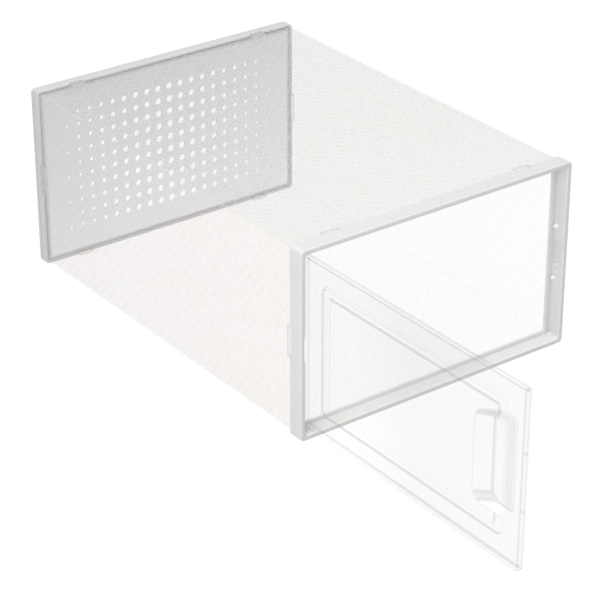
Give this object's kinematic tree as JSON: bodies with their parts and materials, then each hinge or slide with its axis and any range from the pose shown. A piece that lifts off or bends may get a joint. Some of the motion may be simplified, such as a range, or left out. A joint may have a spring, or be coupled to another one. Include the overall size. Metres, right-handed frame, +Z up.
{
  "type": "shoe box",
  "caption": "Clear stackable shoe box with a white front ring, a clear door hinged on its left side, clear embossed walls and a white vented rear cover.",
  "frame": {"origin": "on the surface the box stands on, in the middle of the front ring's underside", "axes": "+X to the right seen from the front, +Y from the door end to the rear cover, +Z up"},
  "size_m": [0.23, 0.5355, 0.14],
  "materials": {
    "white_moulding": "satin moulded polypropylene",
    "clear_sheet": "clear, with a fine diamond embossing",
    "clear_door": "clear, smooth"
  },
  "bodies": {
    "box": {"front_frame": "white_moulding", "rear_cover": "white_moulding", "top_panel": "clear_sheet", "bottom_panel": "clear_sheet", "left_panel": "clear_sheet", "right_panel": "clear_sheet"},
    "door": {"door": "clear_door"}
  },
  "joints": [
    {"name": "door_hinge", "type": "hinge", "parent": "box", "child": "door", "pos_m": [-0.1052, 0.00105, 0.07], "axis": [0, 0, 1], "range_deg": [-15, 90]}
  ]
}
